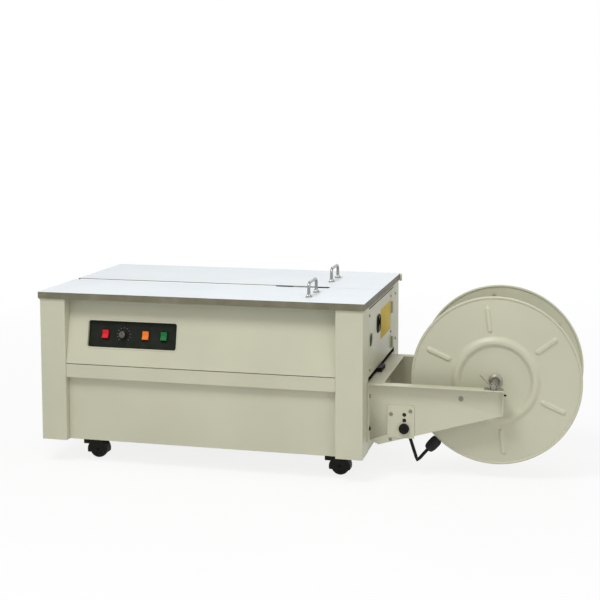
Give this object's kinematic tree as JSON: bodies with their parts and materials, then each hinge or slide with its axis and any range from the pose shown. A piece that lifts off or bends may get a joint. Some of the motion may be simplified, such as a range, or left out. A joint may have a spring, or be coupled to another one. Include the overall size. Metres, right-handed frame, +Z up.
{
  "type": "semi-automatic strapping machine",
  "caption": "Low-table semi-automatic strapping machine on casters, with lifting table leaves, a strap reel on a side bracket and a control panel.",
  "frame": {"origin": "on the floor under the middle of the whole machine, reel included", "axes": "+X towards the strap reel, +Y away from the operator, +Z up"},
  "size_m": [1.4478, 0.57, 0.517],
  "materials": {
    "cream_paint": "satin cream enamel",
    "table_steel": "fine satin",
    "channel_steel": "satin",
    "zinc_steel": "zinc plated",
    "chrome": "polished",
    "black_plastic": "moulded, fine grain",
    "red_plastic": "smooth",
    "orange_plastic": "smooth",
    "green_plastic": "smooth",
    "black_steel": "black enamel",
    "rubber": "matt",
    "machine_grey": "grey enamel",
    "tool_steel": "ground",
    "motor_paint": "dark enamel",
    "transformer_core": "varnished"
  },
  "bodies": {
    "cabinet": {"leg_front_left": "cream_paint", "leg_front_right": "cream_paint", "leg_rear_left": "cream_paint", "leg_rear_right": "cream_paint", "base_tray": "cream_paint", "front_rail": "cream_paint", "front_upper_panel": "cream_paint", "front_lower_panel": "cream_paint", "rear_panel": "cream_paint", "left_panel": "cream_paint", "right_lower_panel": "cream_paint", "side_cover": "cream_paint", "reel_arm_front": "cream_paint", "reel_arm_rear": "cream_paint", "bracket_web": "cream_paint", "brake_plate": "cream_paint", "strap_channel": "channel_steel", "table_hinge_front": "zinc_steel", "table_hinge_rear": "zinc_steel", "strap_inlet": "black_plastic", "control_panel": "black_plastic", "reel_axle": "zinc_steel", "axle_clamp_front": "zinc_steel", "axle_clamp_rear": "zinc_steel", "head_frame": "machine_grey", "motor": "motor_paint", "drive_belt": "rubber", "feed_bracket": "machine_grey", "transformer": "transformer_core", "control_box": "machine_grey"},
    "table_leaf_front": {"table_leaf_front": "table_steel", "handle_front": "chrome"},
    "table_leaf_rear": {"table_leaf_rear": "table_steel", "handle_rear": "chrome"},
    "power_switch": {"power_switch": "red_plastic"},
    "feed_switch": {"feed_switch": "orange_plastic"},
    "reset_switch": {"reset_switch": "green_plastic"},
    "tension_knob": {"tension_knob": "black_plastic"},
    "reel": {"reel_flange_front": "cream_paint", "reel_flange_rear": "cream_paint", "reel_core": "cream_paint"},
    "brake": {"brake_lever": "black_steel", "brake_block": "rubber"},
    "press_left": {"press_left": "tool_steel"},
    "press_centre": {"press_centre": "tool_steel"},
    "press_right": {"press_right": "tool_steel"},
    "slide_plate": {"slide_plate": "tool_steel"},
    "heater_blade": {"heater_blade": "tool_steel"},
    "cam_shaft": {"cam_shaft": "tool_steel"},
    "motor_pulley": {"motor_pulley": "machine_grey"},
    "feed_roller": {"feed_roller": "rubber"},
    "pinch_roller": {"pinch_roller": "rubber"},
    "caster_1": {"caster_fork_1": "black_plastic"},
    "caster_1_wheel": {"caster_wheel_1": "rubber"},
    "caster_2": {"caster_fork_2": "black_plastic"},
    "caster_2_wheel": {"caster_wheel_2": "rubber"},
    "caster_3": {"caster_fork_3": "black_plastic"},
    "caster_3_wheel": {"caster_wheel_3": "rubber"},
    "caster_4": {"caster_fork_4": "black_plastic"},
    "caster_4_wheel": {"caster_wheel_4": "rubber"}
  },
  "joints": [
    {"name": "table_front_lift", "type": "hinge", "parent": "cabinet", "child": "table_leaf_front", "pos_m": [-0.72015, -0.16, 0.4537], "axis": [0, -1, 0], "range_deg": [0, 80]},
    {"name": "table_rear_lift", "type": "hinge", "parent": "cabinet", "child": "table_leaf_rear", "pos_m": [-0.72015, 0.1, 0.4537], "axis": [0, -1, 0], "range_deg": [0, 80]},
    {"name": "power_rock", "type": "hinge", "parent": "cabinet", "child": "power_switch", "pos_m": [-0.53815, -0.25242, 0.36096], "axis": [1, 0, 0], "range_deg": [0, 16]},
    {"name": "feed_rock", "type": "hinge", "parent": "cabinet", "child": "feed_switch", "pos_m": [-0.42315, -0.25242, 0.36096], "axis": [1, 0, 0], "range_deg": [0, 16]},
    {"name": "reset_rock", "type": "hinge", "parent": "cabinet", "child": "reset_switch", "pos_m": [-0.37115, -0.25242, 0.36096], "axis": [1, 0, 0], "range_deg": [0, 16]},
    {"name": "tension_turn", "type": "hinge", "parent": "cabinet", "child": "tension_knob", "pos_m": [-0.48615, -0.25193, 0.36086], "axis": [0, -0.9802, 0.1982], "range_deg": [-135, 135]},
    {"name": "reel_spin", "type": "hinge", "parent": "cabinet", "child": "reel", "pos_m": [0.50185, -0.045, 0.2633], "axis": [0, 1, 0], "continuous": true},
    {"name": "brake_swing", "type": "hinge", "parent": "cabinet", "child": "brake", "pos_m": [0.27085, -0.197, 0.137], "axis": [0, 1, 0], "range_deg": [0, 18], "stiffness_Nm_per_rad": 0.8, "springref_deg": -34.38},
    {"name": "press_left_rise", "type": "slide", "parent": "cabinet", "child": "press_left", "axis": [0, 0, 1], "range_m": [0, 0.005]},
    {"name": "press_centre_rise", "type": "slide", "parent": "cabinet", "child": "press_centre", "axis": [0, 0, 1], "range_m": [0, 0.005]},
    {"name": "press_right_rise", "type": "slide", "parent": "cabinet", "child": "press_right", "axis": [0, 0, 1], "range_m": [0, 0.005]},
    {"name": "slide_plate_draw", "type": "slide", "parent": "cabinet", "child": "slide_plate", "axis": [-1, 0, 0], "range_m": [0, 0.03]},
    {"name": "heater_feed", "type": "slide", "parent": "cabinet", "child": "heater_blade", "axis": [0, -1, 0], "range_m": [0, 0.024]},
    {"name": "cam_spin", "type": "hinge", "parent": "cabinet", "child": "cam_shaft", "pos_m": [-0.035, -0.038, 0.3802], "axis": [1, 0, 0], "continuous": true},
    {"name": "motor_spin", "type": "hinge", "parent": "cabinet", "child": "motor_pulley", "pos_m": [-0.14015, -0.038, 0.146], "axis": [1, 0, 0], "continuous": true},
    {"name": "feed_spin", "type": "hinge", "parent": "cabinet", "child": "feed_roller", "pos_m": [0.11485, -0.038, 0.245], "axis": [0, 1, 0], "continuous": true},
    {"name": "pinch_spin", "type": "hinge", "parent": "cabinet", "child": "pinch_roller", "pos_m": [0.11485, -0.038, 0.286], "axis": [0, 1, 0], "continuous": true},
    {"name": "caster_1_swivel", "type": "hinge", "parent": "cabinet", "child": "caster_1", "pos_m": [-0.61415, -0.195, 0.06], "axis": [0, 0, 1], "continuous": true},
    {"name": "caster_1_roll", "type": "hinge", "parent": "caster_1", "child": "caster_1_wheel", "pos_m": [-0.58815, -0.195, 0.025], "axis": [0, 1, 0], "continuous": true},
    {"name": "caster_2_swivel", "type": "hinge", "parent": "cabinet", "child": "caster_2", "pos_m": [-0.61415, 0.195, 0.06], "axis": [0, 0, 1], "continuous": true},
    {"name": "caster_2_roll", "type": "hinge", "parent": "caster_2", "child": "caster_2_wheel", "pos_m": [-0.58815, 0.195, 0.025], "axis": [0, 1, 0], "continuous": true},
    {"name": "caster_3_swivel", "type": "hinge", "parent": "cabinet", "child": "caster_3", "pos_m": [0.07385, -0.195, 0.06], "axis": [0, 0, 1], "continuous": true},
    {"name": "caster_3_roll", "type": "hinge", "parent": "caster_3", "child": "caster_3_wheel", "pos_m": [0.09985, -0.195, 0.025], "axis": [0, 1, 0], "continuous": true},
    {"name": "caster_4_swivel", "type": "hinge", "parent": "cabinet", "child": "caster_4", "pos_m": [0.07385, 0.195, 0.06], "axis": [0, 0, 1], "continuous": true},
    {"name": "caster_4_roll", "type": "hinge", "parent": "caster_4", "child": "caster_4_wheel", "pos_m": [0.09985, 0.195, 0.025], "axis": [0, 1, 0], "continuous": true}
  ],
  "couplings": [
    {"joint": "motor_spin", "follows": "cam_spin", "ratio": 1.6},
    {"joint": "pinch_spin", "follows": "feed_spin", "ratio": -1.6667}
  ]
}
